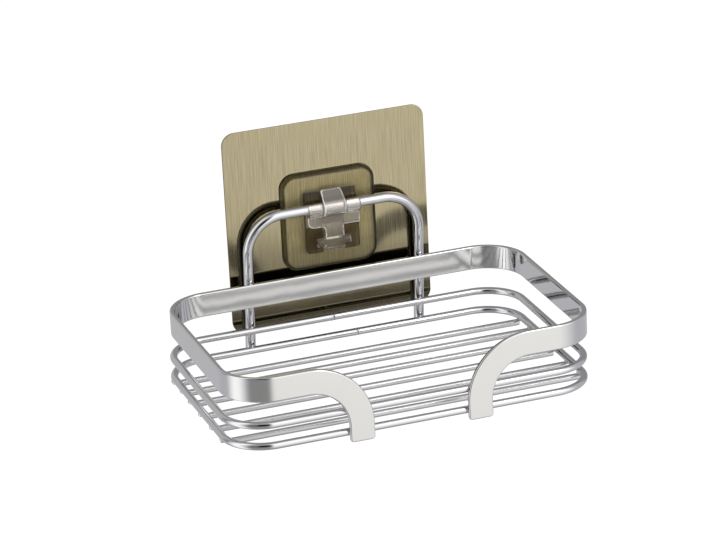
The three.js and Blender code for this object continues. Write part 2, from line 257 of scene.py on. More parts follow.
world = bpy.data.worlds.new("white_room")
world.use_nodes = True
scene.world = world
world_tree = world.node_tree
backdrop = world_tree.nodes["Background"].inputs
backdrop["Color"].default_value = WHITE
feed(world_tree, backdrop["Strength"], remap(world_tree, shown_rays(world_tree), 0, 1, SOFT_LEVEL, 1))

floor_paint, floor_tree, floor_shader = new_material("floor_paint", {
    "Base Color": FLOOR_GREY, "Roughness": 1.0, "Specular IOR Level": 0.0, "Emission Color": WHITE,
})
floor_glow = remap(floor_tree, shown_rays(floor_tree), 0, 1, 0, FLOOR_GLOW)
feed(floor_tree, floor_shader["Emission Strength"], floor_glow)
stage_mesh = bpy.data.meshes.new("floor")
corner_signs = ((-1, -1), (1, -1), (1, 1), (-1, 1))
floor_corners = [(x * FLOOR_REACH, y * FLOOR_REACH, FLOOR_Z) for x, y in corner_signs]
stage_mesh.from_pydata(floor_corners, [], [(0, 1, 2, 3)])
stage_mesh.materials.append(floor_paint)
floor = add_object("floor", stage_mesh)
print("floor at", FLOOR_Z, "m")

# %% [markdown]
# ## Light tent
#
# Polished metal has no look of its own: it shows what stands round it. In plain white it would vanish,
# so a product photographer puts it in a tent of grey cloth with bright openings and dark cards. This
# tent is one sphere of soft grey. A node group makes a soft-edged panel at a given direction, and a few
# panels of different brightness are laid over the grey: openings that let the white through, dark cards
# at the lens and to its left, and a darker wall behind. Only mirror rays and rays through clear plastic
# see the tent, the latter a little paler.

# %% Tent panels
TENT_RADIUS = 0.45
TENT_CENTRE = Vector((0, -0.05, -0.02))
PANEL_INPUTS = {
    "Azimuth": 0.0,
    "Half Width": 20.0,
    "Side Softness": 10.0,
    "Low": -30.0,
    "High": 30.0,
    "Rim Softness": 10.0,
}

panel_group, panel_in, panel_out = new_group("soft_panel", PANEL_INPUTS, ["Mask"])
panel_offset = add_node(panel_group, "ShaderNodeVectorMath", {"operation": "SUBTRACT"}, {
    0: object_place(panel_group), 1: TENT_CENTRE,
})
panel_way = add_node(panel_group, "ShaderNodeVectorMath", {"operation": "NORMALIZE"}, {
    0: panel_offset.outputs[0],
})
panel_axes = axes_of(panel_group, panel_way.outputs[0])
forward = maths(panel_group, "MULTIPLY", panel_axes["Y"], -1.0)
bearing = maths(panel_group, "DEGREES", maths(panel_group, "ARCTAN2", panel_axes["X"], forward))
height = maths(panel_group, "DEGREES", maths(panel_group, "ARCSINE", panel_axes["Z"]))
off_axis = maths(panel_group, "ABSOLUTE", maths(panel_group, "SUBTRACT", bearing, panel_in["Azimuth"]))
wrapped = maths(panel_group, "PINGPONG", off_axis, 180.0)


def soft_edge(value, edge, softness, start, end):
    """A smooth step over a panel's edge. Start and end say which way the softness counts there."""
    first = maths(panel_group, start, panel_in[edge], panel_in[softness])
    last = maths(panel_group, end, panel_in[edge], panel_in[softness])
    return remap(panel_group, value, first, last, 0, 1, True)


across = soft_edge(wrapped, "Half Width", "Side Softness", "ADD", "SUBTRACT")
above = soft_edge(height, "Low", "Rim Softness", "SUBTRACT", "ADD")
below = soft_edge(height, "High", "Rim Softness", "ADD", "SUBTRACT")
upright = maths(panel_group, "MULTIPLY", above, below)
feed(panel_group, panel_out["Mask"], maths(panel_group, "MULTIPLY", across, upright))
print("panel group has", len(panel_group.nodes), "nodes")

# %% Tent cloth
TENT_GREY = (0.63, 0.63, 0.68, 1)
NEUTRAL = (1.0, 1.0, 1.0)
WARM = (1.0, 0.985, 0.955)
PANELS = [
    # azimuth, half width, side softness, low, high, rim softness, brightness, tint
    (180, 80, 10, -12, 85, 10, 0.36, NEUTRAL),
    (18, 34, 28, -36, 10, 26, 1.32, WARM),
    (24, 36, 12, 0, 62, 12, 1.6, NEUTRAL),
    (32, 9, 4, 24, 46, 4, 5.0, NEUTRAL),
    (-150, 27, 10, -20, 48, 10, 0.62, NEUTRAL),
    (-33, 24, 7.5, -55, -6, 10, 0.36, NEUTRAL),
    (-36, 22, 10, -14, 46, 10, 0.24, NEUTRAL),
    (-22, 15, 6, -1, 43, 7, 0.015, NEUTRAL),
    (-84, 16, 13, -60, 70, 9, 1.48, NEUTRAL),
    (0, 180, 5, -90, -60, 10, 0.42, NEUTRAL),
]
SEEN_THROUGH = 0.3
TENT_FINENESS = 5

tent_cloth = bpy.data.materials.new("tent_cloth")
tent_cloth.use_nodes = True
tent_tree = tent_cloth.node_tree
tent_tree.nodes.clear()
cloth_colour = TENT_GREY
for *shape, brightness, tint in PANELS:
    mask = place_group(tent_tree, panel_group, dict(zip(PANEL_INPUTS, shape)))["Mask"]
    panel_colour = tuple(brightness * part for part in tint) + (1,)
    cloth_colour = blend_colours(tent_tree, mask, cloth_colour, panel_colour)
tent_path = add_node(tent_tree, "ShaderNodeLightPath").outputs
paler = maths(tent_tree, "MULTIPLY", tent_path["Is Transmission Ray"], SEEN_THROUGH)
cloth_colour = blend_colours(tent_tree, paler, cloth_colour, WHITE)
cloth_light = add_node(tent_tree, "ShaderNodeEmission", values={"Color": cloth_colour})
add_node(tent_tree, "ShaderNodeOutputMaterial", values={"Surface": cloth_light.outputs[0]})

tent_mesh = bpy.data.meshes.new("light_tent")
tent_form = bmesh.new()
tent_move = Matrix.Translation(TENT_CENTRE)
bmesh.ops.create_icosphere(tent_form, subdivisions=TENT_FINENESS, radius=TENT_RADIUS, matrix=tent_move)
tent_form.to_mesh(tent_mesh)
tent_form.free()
tent_mesh.shade_smooth()
tent_mesh.materials.append(tent_cloth)
tent = add_object("light_tent", tent_mesh)
tent.visible_camera = False
tent.visible_diffuse = False
tent.visible_shadow = False
print("tent of", len(PANELS), "panels")

# %% [markdown]
# ## Lamps
#
# Two large soft lamps stand for the studio's light from above and from the front left. They work on the
# pieces that scatter light; the polished metal shows the tent instead.

# %% Soft lamps
LAMPS = [
    # name, place, size, power
    ("top_softbox", (0.1, -0.5, 1.3), 1.2, 9.0),
    ("front_softbox", (-0.8, -1.3, 0.7), 0.9, 7.0),
]
for name, place, size, power in LAMPS:
    lamp_data = bpy.data.lights.new(name, "AREA")
    lamp_data.shape = "SQUARE"
    lamp_data.size = size
    lamp_data.energy = power
    lamp = add_object(name, lamp_data)
    lamp.location = place
    lamp.rotation_euler = (TENT_CENTRE - Vector(place)).to_track_quat("-Z", "Y").to_euler()
    lamp.visible_glossy = False
print(len(LAMPS), "lamps")

# %% [markdown]
# ## Finishes: shared effects
#
# Three effects show up on more than one finish, so each is a node group. `handling_marks` breaks up a
# perfect polish: it puts out a roughness that drifts over the surface, as faint smears do, and a very
# low waviness that bends reflections a little. `brushed_grain` makes fine parallel streaks along
# whatever coordinates it is given. `pad_outline` is a mask of the clip's rounded pad, faded over a
# given band inside its outline: the plate needs it for the glue under the pad, and the plastic for the
# pad's bevel.

# %% Handling marks
SMEAR_START = 0.42
SMEAR_END = 0.72

marks_group, marks_in, marks_out = new_group("handling_marks", {
    "Clean": 0.05, "Smeared": 0.12, "Smear Scale": 45.0, "Wave Scale": 160.0,
}, ["Roughness", "Height"])
marks_place = object_place(marks_group)
smear = noise(marks_group, marks_place, marks_in["Smear Scale"], detail=3.0, roughness=0.6)
wave = noise(marks_group, marks_place, marks_in["Wave Scale"], detail=1.0, roughness=0.4)
smeared = remap(marks_group, smear, SMEAR_START, SMEAR_END, marks_in["Clean"], marks_in["Smeared"], True)
feed(marks_group, marks_out["Roughness"], smeared)
feed(marks_group, marks_out["Height"], wave)


def marked(tree, clean, smeared, smear_scale, wave_scale):
    return place_group(tree, marks_group, {
        "Clean": clean, "Smeared": smeared, "Smear Scale": smear_scale, "Wave Scale": wave_scale,
    })


print("handling_marks has", len(marks_group.nodes), "nodes")

# %% Brushed grain
COARSE_SCALE = 0.65
COARSE_SHARE = 0.55
STREAK_LOW = 0.36
STREAK_HIGH = 0.64

grain_group, grain_in, grain_out = new_group("brushed_grain", {"Place": None}, ["Streak", "Height"])
coarse = noise(grain_group, grain_in["Place"], COARSE_SCALE, detail=2.0, roughness=0.5)
fine = noise(grain_group, grain_in["Place"], 1.0, detail=4.0, roughness=0.7)
coarse_part = maths(grain_group, "MULTIPLY", coarse, COARSE_SHARE)
fine_part = maths(grain_group, "MULTIPLY", fine, 1 - COARSE_SHARE)
both_parts = maths(grain_group, "ADD", coarse_part, fine_part)
feed(grain_group, grain_out["Streak"], remap(grain_group, both_parts, STREAK_LOW, STREAK_HIGH, 0, 1))
feed(grain_group, grain_out["Height"], fine)
print("brushed_grain has", len(grain_group.nodes), "nodes")

# %% Outline of the clip's pad
PAD_CORNER = 6 * MM

pad_middle = (clip_low + clip_high) / 2
pad_half = (clip_high - clip_low) / 2
outline_group, outline_in, outline_out = new_group("pad_outline", {
    "Band Start": 1 * MM, "Band End": 0.0,
}, ["Inside"])
outline_axes = axes_of(outline_group, object_place(outline_group))


def past_straight(axis, middle, half_side):
    """The square of how far a point lies past the straight part of the pad's side."""
    offset = maths(outline_group, "SUBTRACT", outline_axes[axis], middle)
    distance = maths(outline_group, "ABSOLUTE", offset)
    past = maths(outline_group, "SUBTRACT", distance, half_side - PAD_CORNER)
    return maths(outline_group, "POWER", maths(outline_group, "MAXIMUM", past, 0.0), 2.0)


past_x = past_straight("X", pad_middle.x, pad_half.x)
past_z = past_straight("Z", pad_middle.z, pad_half.z)
past_corner = maths(outline_group, "SQRT", maths(outline_group, "ADD", past_x, past_z))
to_outline = maths(outline_group, "SUBTRACT", PAD_CORNER, past_corner)
inside = remap(outline_group, to_outline, outline_in["Band End"], outline_in["Band Start"], 0, 1, True)
feed(outline_group, outline_out["Inside"], inside)


def inside_pad(tree, start, end):
    return place_group(tree, outline_group, {"Band Start": start, "Band End": end})["Inside"]


print("pad_outline has", len(outline_group.nodes), "nodes")

# %% [markdown]
# ## Finish: polished chrome
#
# The hanger, the rings and the floor wires are plated with bright chrome. That is a metal with a pale,
# slightly cool colour and almost no roughness; the faint smears and waves of the shared group keep it
# from looking like a computed mirror. Two versions differ a little. The floor wires are plated as they
# come from the coil, so theirs is softer. The hanger's colour carries a painted shade on the side that
# faces the wall, so that side and its mirror image in the plate read dark: an attribute of its mesh
# tells where that is.

# %% Chrome for the wires
CHROME_TONE = (0.62, 0.62, 0.63, 1)
COIL_TONE = (0.57, 0.57, 0.575, 1)
# Painted shade for the side of the hanger that faces the wall.
WALL_SIDE_SHADE = (0.2, 0.2, 0.2, 1)


def plated_chrome(name, tone, clean, smeared):
    material, tree, shader = new_material(name, {"Base Color": tone, "Metallic": 1.0})
    marks = marked(tree, clean, smeared, smear_scale=70.0, wave_scale=220.0)
    feed(tree, shader["Roughness"], marks["Roughness"])
    feed(tree, shader["Normal"], bump(tree, marks["Height"], strength=0.03, distance=0.1 * MM))
    return material, tree, shader


chrome = plated_chrome("chrome", CHROME_TONE, clean=0.09, smeared=0.14)[0]
floor_chrome = plated_chrome("floor_chrome", COIL_TONE, clean=0.3, smeared=0.36)[0]
hanger_chrome, hanger_tree, hanger_shader = plated_chrome(
    "hanger_chrome", CHROME_TONE, clean=0.035, smeared=0.09,
)
# Painted shade: the chrome's colour darkens on the side of the hanger that faces the wall.
painted_wall_shade = add_node(hanger_tree, "ShaderNodeAttribute", {"attribute_name": "painted_wall_shade"}).outputs["Fac"]
shaded_hanger_tone = blend_colours(hanger_tree, painted_wall_shade, CHROME_TONE, WALL_SIDE_SHADE)
feed(hanger_tree, hanger_shader["Base Color"], shaded_hanger_tone)
print("chrome ready")

# %% [markdown]
# ## Finish: polished band
#
# The rim band is rolled strip, bent and then plated. It is as bright as the wires, but its flat faces
# keep faint rolling lines along the strip. Those lines have to follow the bends, so they read the
# strip's own UV map: U runs along the strip and V round its section, both in metres. V also tells the
# outside, which is satin, from the inside, which mirrors the wires, most clearly on the two short
# sides.

# %% Chrome for the band
BAND_TONE = (0.62, 0.62, 0.615, 1)
BAND_STRETCH = (18.0, 1600.0, 1.0)
INSIDE_END = 11.7 * MM
INSIDE_FADE = 0.5 * MM
SIDE_START = 54 * MM
SIDE_END = 66 * MM
BACK_ROUGHNESS = 0.1
SIDE_ROUGHNESS = 0.055

band_finish, band_tree, band_shader = new_material("band_chrome", {
    "Base Color": BAND_TONE, "Metallic": 1.0,
})
strip_place = add_node(band_tree, "ShaderNodeUVMap", {"uv_map": "strip"}).outputs["UV"]
band_stretch = stretched(band_tree, strip_place, BAND_STRETCH)
band_grain = place_group(band_tree, grain_group, {"Place": band_stretch})
band_marks = marked(band_tree, clean=0.17, smeared=0.23, smear_scale=40.0, wave_scale=110.0)
round_strip = axes_of(band_tree, strip_place)["Y"]
outside = remap(band_tree, round_strip, INSIDE_END - INSIDE_FADE, INSIDE_END + INSIDE_FADE, 0, 1)
sideways = maths(band_tree, "ABSOLUTE", axes_of(band_tree, object_place(band_tree))["X"])
inside_roughness = remap(band_tree, sideways, SIDE_START, SIDE_END, BACK_ROUGHNESS, SIDE_ROUGHNESS, True)
band_roughness = remap(band_tree, outside, 0, 1, inside_roughness, band_marks["Roughness"])
feed(band_tree, band_shader["Roughness"], band_roughness)
band_wave = bump(band_tree, band_marks["Height"], strength=0.12, distance=0.3 * MM)
band_lines = bump(band_tree, band_grain["Height"], strength=0.08, distance=0.02 * MM, normal=band_wave)
feed(band_tree, band_shader["Normal"], band_lines)
print("band chrome ready")

# %% [markdown]
# ## Finish: champagne plate
#
# The plate is a thin metal-look sheet with a vertical brushed grain in a champagne tone, bright enough
# to mirror the hanger. The grain is noise stretched along Z: it shifts the colour, the roughness and
# the surface a little. A painted shade darkens its colour towards the lower edge, and reaches a little
# higher on the left. Under the clip's pad the glue takes the mirror away, on the front face only, and a
# painted light and shade there makes the colour lighter at the top and darker at the bottom. The thin
# sheet isn't quite true either: what it mirrors is tipped and turned by a few degrees, which a bump with
# an even slope does.

# %% Tone and painted shade of the champagne metal
PLATE_STRETCH = (3600.0, 1.0, 90.0)
GRAIN_DARK = (0.281, 0.246, 0.155, 1)
GRAIN_LIGHT = (0.393, 0.345, 0.219, 1)
# Painted shade towards the lower edge, and painted light and shade under the pad:
PLATE_SHADE_LOW = -18 * MM
PLATE_SHADE_HIGH = 3 * MM
PLATE_SHADE_DEPTH = 0.52
PLATE_SHADE_SLANT = 0.12
GLUED_TOP_LIGHT = 1.12
GLUED_FOOT_SHADE = 0.62
GLUED_STREAK = 0.22
GLUE_FADE = 0.4 * MM

plate_finish, plate_tree, plate_shader = new_material("champagne_metal", {"Metallic": 1.0})
plate_place = object_place(plate_tree)
plate_axes = axes_of(plate_tree, plate_place)
plate_stretch = stretched(plate_tree, plate_place, PLATE_STRETCH)
plate_grain = place_group(plate_tree, grain_group, {"Place": plate_stretch})
plate_streak = plate_grain["Streak"]
plate_colour = blend_colours(plate_tree, plate_streak, GRAIN_DARK, GRAIN_LIGHT)
plate_slant = maths(plate_tree, "MULTIPLY", plate_axes["X"], PLATE_SHADE_SLANT)
plate_height = maths(plate_tree, "ADD", plate_axes["Z"], plate_slant)
# Painted shade: the colour darkens towards the lower edge, a little higher up on the left.
open_plate_shade = remap(plate_tree, plate_height, PLATE_SHADE_LOW, PLATE_SHADE_HIGH, PLATE_SHADE_DEPTH, 1.0, True)
in_front = maths(plate_tree, "LESS_THAN", plate_axes["Y"], (plate_low.y + plate_high.y) / 2)
under_pad = maths(plate_tree, "MULTIPLY", inside_pad(plate_tree, GLUE_FADE, 0.0), in_front)
# Painted light and shade under the pad: lighter at the top, darker at the bottom, with the grain's
# streaks.
glued_shade_and_grain = remap(plate_tree, plate_axes["Z"], clip_low.z, pad_middle.z, GLUED_FOOT_SHADE, GLUED_TOP_LIGHT, True)
glued_streak = remap(plate_tree, plate_streak, 0, 1, 1 - GLUED_STREAK, 1 + GLUED_STREAK)
glued_shade_and_grain = maths(plate_tree, "MULTIPLY", glued_shade_and_grain, glued_streak)
plate_shade_and_grain = remap(plate_tree, under_pad, 0, 1, open_plate_shade, glued_shade_and_grain)
plate_colour = blend_colours(plate_tree, 1.0, plate_colour, plate_shade_and_grain, way="MULTIPLY")
feed(plate_tree, plate_shader["Base Color"], plate_colour)
print("champagne tone ready")

# %% Gloss and surface of the champagne metal
GRAIN_ROUGHNESS = 0.03
GLUED_ROUGHNESS = 0.42
SHEET_TIP = math.radians(5.2)
SHEET_TURN = math.radians(5.8)

plate_marks = marked(plate_tree, clean=0.08, smeared=0.12, smear_scale=30.0, wave_scale=60.0)
grain_roughness = remap(plate_tree, plate_streak, 0, 1, -GRAIN_ROUGHNESS, GRAIN_ROUGHNESS)
open_roughness = maths(plate_tree, "ADD", plate_marks["Roughness"], grain_roughness)
plate_roughness = remap(plate_tree, under_pad, 0, 1, open_roughness, GLUED_ROUGHNESS)
feed(plate_tree, plate_shader["Roughness"], plate_roughness)
tip_slope = maths(plate_tree, "MULTIPLY", plate_axes["Z"], -math.tan(SHEET_TIP))
turn_slope = maths(plate_tree, "MULTIPLY", plate_axes["X"], math.tan(SHEET_TURN))
plate_tip = bump(plate_tree, maths(plate_tree, "ADD", tip_slope, turn_slope), strength=1.0, distance=1.0)
plate_wave = bump(plate_tree, plate_marks["Height"], strength=0.1, distance=0.3 * MM, normal=plate_tip)
plate_lines = bump(plate_tree, plate_grain["Height"], strength=0.12, distance=0.02 * MM, normal=plate_wave)
feed(plate_tree, plate_shader["Normal"], plate_lines)
print("champagne metal ready")

# %% [markdown]
# ## Finishes: clear plastic and adhesive
#
# The clip is moulded from clear plastic that refracts the plate behind it. Its thin latch looks almost
# colourless; a painted shade deepens its colour towards its foot. The walls of its block and the bevel
# round its pad carry a painted shade too, dark and smoky, in place of the shade and dark refractions
# that clear plastic shows there. So the base has a second version of the plastic, whose tint follows
# the place: masks made from the coordinates pick out the bevel, the pale lip inside it, which is a
# painted highlight, and the block's walls. Both reflect in a dull warm tone, since a full reflection of
# the tent would veil the walls in grey. The adhesive is a clear soft gel, cloudier and less glossy.

# %% Clear plastic
CLEAR = {"Transmission Weight": 0.96, "IOR": 1.5}
LATCH_CLARITY = 0.91
LATCH_SHEEN = (0.62, 0.58, 0.54, 1)
LATCH_TINT = (0.97, 0.94, 0.89, 1)
# The foot's tint is a painted shade.
FOOT_SHADE_TINT = (0.5, 0.45, 0.37, 1)
STEM_TOP = -0.3 * MM
STEM_FOOT = -6 * MM
BASE_GLOSS = 0.25
BASE_SHEEN = (0.5, 0.45, 0.36, 1)


def clear_plastic(name, values):
    material, tree, shader = new_material(name, CLEAR | values)
    marks = marked(tree, clean=0.02, smeared=0.07, smear_scale=120.0, wave_scale=260.0)
    feed(tree, shader["Roughness"], marks["Roughness"])
    feed(tree, shader["Normal"], bump(tree, marks["Height"], strength=0.12, distance=0.15 * MM))
    return material, tree, shader


latch_plastic, latch_tree, latch_shader = clear_plastic("latch_plastic", {
    "Transmission Weight": LATCH_CLARITY, "Specular Tint": LATCH_SHEEN,
})
latch_height = axes_of(latch_tree, object_place(latch_tree))["Z"]
toward_foot = remap(latch_tree, latch_height, STEM_TOP, STEM_FOOT, 0, 1)
# Painted shade: the latch's colour darkens towards its foot.
latch_colour = blend_colours(latch_tree, toward_foot, LATCH_TINT, FOOT_SHADE_TINT)
feed(latch_tree, latch_shader["Base Color"], latch_colour)
base_plastic, base_tree, base_shader = clear_plastic("base_plastic", {
    "Specular IOR Level": BASE_GLOSS, "Specular Tint": BASE_SHEEN,
})
print("clear plastic ready")

# %% Painted shade and highlight on the clip's base
PAD_TINT = (0.97, 0.91, 0.65, 1)
# Painted shade on the block's walls and on the bevel round the pad:
BLOCK_SHADE_TINT = (0.22, 0.168, 0.1, 1)
BEVEL_SHADE_TINT = (0.045, 0.038, 0.014, 1)
# Painted highlight on the lip just inside the bevel.
LIP_HIGHLIGHT_TINT = (1.0, 0.98, 0.8, 1)
PAD_DEPTH = 2.6 * MM
WALL_START = PAD_DEPTH + 0.1 * MM
WALL_FULL = PAD_DEPTH + 0.5 * MM
FACE_DEPTH = 4.9 * MM
DARK_DEPTH = 7.1 * MM
DARK_FADE = 0.4 * MM
FACE_BOTTOM = -0.4 * MM
FACE_TOP = 4.9 * MM
FACE_FADE = 0.2 * MM
EDGE_BAND = 1.9 * MM
EDGE_CORE = 0.6 * EDGE_BAND
LIP_START = 2.1 * MM
LIP_END = 2.7 * MM

base_axes = axes_of(base_tree, object_place(base_tree))
pad_flat = inside_pad(base_tree, EDGE_BAND, EDGE_CORE)
past_lip = inside_pad(base_tree, LIP_END, LIP_START)
depth = maths(base_tree, "SUBTRACT", clip_high.y, base_axes["Y"])
above_pad = remap(base_tree, depth, WALL_START, WALL_FULL, 0, 1, True)
over_ears = remap(base_tree, base_axes["Z"], FACE_BOTTOM - FACE_FADE, FACE_BOTTOM + FACE_FADE, 0, 1)
under_hooks = remap(base_tree, base_axes["Z"], FACE_TOP + FACE_FADE, FACE_TOP - FACE_FADE, 0, 1)
on_face = maths(base_tree, "MULTIPLY", over_ears, under_hooks)
dark_depth = remap(base_tree, on_face, 0, 1, DARK_DEPTH, FACE_DEPTH)
below_face = remap(base_tree, maths(base_tree, "SUBTRACT", depth, dark_depth), 0.0, -DARK_FADE, 0, 1, True)
# Painted shade on the block's walls, from the pad up to a set depth.
block_shade_mask = maths(base_tree, "MULTIPLY", above_pad, below_face)
# Painted highlight: a pale line just inside the dark band round the pad.
base_colour = blend_colours(base_tree, past_lip, LIP_HIGHLIGHT_TINT, PAD_TINT)
# Painted shade: a dark band on the bevel round the pad.
base_colour = blend_colours(base_tree, pad_flat, BEVEL_SHADE_TINT, base_colour)
base_colour = blend_colours(base_tree, above_pad, base_colour, LATCH_TINT)
base_colour = blend_colours(base_tree, block_shade_mask, base_colour, BLOCK_SHADE_TINT)
feed(base_tree, base_shader["Base Color"], base_colour)
print("tint masks ready")

# %% Frosted edges and adhesive gel
# The frosted edge's pale colour is partly a painted highlight for the bright glints on the latch's edges.
frosted_glint_edge, frosted_tree, frosted_shader = new_material("frosted_glint_edge", {
    "Base Color": (0.93, 0.91, 0.89, 1), "Transmission Weight": 0.35, "IOR": 1.5,
})
frosted_marks = marked(frosted_tree, clean=0.18, smeared=0.3, smear_scale=120.0, wave_scale=260.0)
feed(frosted_tree, frosted_shader["Roughness"], frosted_marks["Roughness"])

gel, gel_tree, gel_shader = new_material("adhesive_gel", {
    "Base Color": (0.93, 0.93, 0.9, 1), "Transmission Weight": 0.86, "IOR": 1.45,
})
gel_marks = marked(gel_tree, clean=0.14, smeared=0.26, smear_scale=35.0, wave_scale=420.0)
feed(gel_tree, gel_shader["Roughness"], gel_marks["Roughness"])
feed(gel_tree, gel_shader["Normal"], bump(gel_tree, gel_marks["Height"], strength=0.2, distance=0.1 * MM))
print("frosted edge and gel ready")

# %% [markdown]
# ## Putting a piece in place
#
# Every finished piece is a plain mesh at the origin. One helper links it, hangs it on the empty of the
# body it rides on and hides the CAD parts that it stands for.
# Three more finish a mesh: one takes it from an object with modifiers, one shades it smooth but for its
# sharp edges, and one takes it from a form that was built by hand.

# %% Helpers for finished pieces
SHARP_EDGE = math.radians(40)


def finish_piece(name, mesh, body, nodes=()):
    piece = add_object(name, mesh)
    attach(piece, body)
    if nodes:
        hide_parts(*nodes)
    print(name, "has", sum(len(face.vertices) - 2 for face in mesh.polygons), "triangles")


def settle(holder):
    """The mesh that an object's modifiers make. The object itself is removed."""
    name = holder.name
    bpy.context.view_layer.update()
    settled = bpy.context.evaluated_depsgraph_get()
    mesh = bpy.data.meshes.new_from_object(holder.evaluated_get(settled), depsgraph=settled)
    holder.modifiers.clear()
    bpy.data.objects.remove(holder)
    mesh.name = name
    return mesh


def shade(mesh):
    mesh.shade_smooth()
    mesh.set_sharp_from_angle(angle=SHARP_EDGE)
    return mesh


def from_form(name, form, finish):
    bmesh.ops.recalc_face_normals(form, faces=form.faces)
    mesh = bpy.data.meshes.new(name)
    form.to_mesh(mesh)
    form.free()
    mesh.materials.append(finish)
    return shade(mesh)


print("piece helpers ready")

# %% [markdown]
# ## Round wires with Geometry Nodes
#
# A bent wire is a round section that follows a path, which is what Curve to Mesh does. The path is a
# chain of edges with a `swell` value at each point: 1 is the plain wire, less rounds off a cut end and
# more makes the thick spot of a butt weld. The tree's inputs are the wire's radius, the number of sides
# and the finish.

# %% The bent wire tree
def new_geometry_tree(name, inputs):
    tree = bpy.data.node_groups.new(name, "GeometryNodeTree")
    tree.interface.new_socket("Path", in_out="INPUT", socket_type="NodeSocketGeometry")
    for label, kind in inputs:
        tree.interface.new_socket(label, in_out="INPUT", socket_type=kind)
    tree.interface.new_socket("Mesh", in_out="OUTPUT", socket_type="NodeSocketGeometry")
    return tree, tree.nodes.new("NodeGroupInput").outputs, tree.nodes.new("NodeGroupOutput").inputs


wire_tree, wire_in, wire_out = new_geometry_tree("bent_wire", [
    ("Wire Radius", "NodeSocketFloat"),
    ("Sides", "NodeSocketInt"),
    ("Finish", "NodeSocketMaterial"),
])
to_curve = add_node(wire_tree, "GeometryNodeMeshToCurve", values={"Mesh": wire_in["Path"]})
swell = add_node(wire_tree, "GeometryNodeInputNamedAttribute", {"data_type": "FLOAT"}, {"Name": "swell"})
section = add_node(wire_tree, "GeometryNodeCurvePrimitiveCircle", values={
    "Resolution": wire_in["Sides"], "Radius": wire_in["Wire Radius"],
})
sweep = add_node(wire_tree, "GeometryNodeCurveToMesh", values={
    "Curve": to_curve.outputs["Curve"], "Profile Curve": section.outputs["Curve"],
    "Scale": swell.outputs["Attribute"], "Fill Caps": True,
})
wire_paint = add_node(wire_tree, "GeometryNodeSetMaterial", values={
    "Geometry": sweep.outputs["Mesh"], "Material": wire_in["Finish"],
})
feed(wire_tree, wire_out["Mesh"], wire_paint.outputs["Geometry"])
print("bent_wire has", len(wire_tree.nodes), "nodes")

# %% Growing a tree into a plain mesh
WIRE_SIDES = 32


def grow(name, start_mesh, tree, values):
    holder = add_object(name, start_mesh)
    modifier = holder.modifiers.new("grow", "NODES")
    modifier.node_group = tree
    for item in tree.interface.items_tree:
        if item.in_out == "INPUT" and item.name in values:
            modifier[item.identifier] = values[item.name]
    return shade(settle(holder))


def bent_wire(name, runs, radius, finish):
    """A mesh of one or more wires. A run is (points, swells, closed)."""
    points, edges, swells = [], [], []
    for run_points, run_swells, closed in runs:
        first = len(points)
        points.extend(run_points)
        swells.extend(run_swells)
        edges.extend((first + step, first + step + 1) for step in range(len(run_points) - 1))
        if closed:
            edges.append((len(points) - 1, first))
    path = bpy.data.meshes.new(name + "_path")
    path.from_pydata(points, edges, [])
    path.attributes.new("swell", "FLOAT", "POINT").data.foreach_set("value", swells)
    return grow(name, path, wire_tree, {"Wire Radius": radius, "Sides": WIRE_SIDES, "Finish": finish})


def arc(centre, radius, start, end, across, along, step_degrees=2.5):
    """Points of an arc in the plane of two unit vectors, both ends included. Angles are in degrees."""
    count = max(2, round(abs(end - start) / step_degrees))
    turns = [math.radians(start + (end - start) * step / count) for step in range(count + 1)]
    return [centre + radius * (math.cos(angle) * across + math.sin(angle) * along) for angle in turns]


X = Vector((1, 0, 0))
Y = Vector((0, 1, 0))
Z = Vector((0, 0, 1))
print("wire helpers ready")

# %% [markdown]
# ## Cut ends
#
# A wire that is cut and tumbled before plating has a small round edge at its end. The path gets a few
# extra points there, and `swell` follows a quarter circle over them.

# %% Rounding a cut end
END_STEPS = 5


def rounded_run(points, radius, rounding):
    """An open run whose two ends are rounded off over a short length."""
    turns = [math.pi / 2 * step / END_STEPS for step in range(END_STEPS + 1)]
    insets = [rounding * (1 - math.cos(turn)) for turn in turns]
    sizes = [(radius - rounding + rounding * math.sin(turn)) / radius for turn in turns]
    start_way = (points[1] - points[0]).normalized()
    end_way = (points[-2] - points[-1]).normalized()
    start = [points[0] + start_way * inset for inset in insets]
    end = [points[-1] + end_way * inset for inset in insets]
    middle = points[1:-1]
    run_points = start + middle + end[::-1]
    return run_points, sizes + [1.0] * len(middle) + sizes[::-1], False


print("a cut end has", END_STEPS, "steps")

# %% [markdown]
# ## Hanger
#
# One wire of 4 mm with two bends. Its bar lies level in the clip and its legs lean in towards the wall,
# so their ends rest on the plate and keep the basket level.

# %% Hanger
HANGER_LEAN = math.radians(5.5)
HANGER_ROUNDING = 0.5 * MM
SHADE_START = -0.1
SHADE_SPAN = 0.4

leg_x = hanger_high.x - hanger_radius
leg_down = Vector((0, math.sin(HANGER_LEAN), -math.cos(HANGER_LEAN)))
leg_drop = (bar_centre.z - hanger_low.z) / math.cos(HANGER_LEAN)
leg_length = leg_drop - hanger_radius * math.tan(HANGER_LEAN)
left_bend = bar_centre + (HANGER_BEND - leg_x) * X + HANGER_BEND * leg_down
right_bend = bar_centre + (leg_x - HANGER_BEND) * X + HANGER_BEND * leg_down
hanger_points = (
    [bar_centre - leg_x * X + leg_length * leg_down]
    + arc(left_bend, HANGER_BEND, 180, 90, X, -leg_down)
    + arc(right_bend, HANGER_BEND, 90, 0, X, -leg_down)
    + [bar_centre + leg_x * X + leg_length * leg_down]
)
hanger_run = rounded_run(hanger_points, hanger_radius, HANGER_ROUNDING)
hanger_mesh = bent_wire("hanger_wire", [hanger_run], hanger_radius, hanger_chrome)
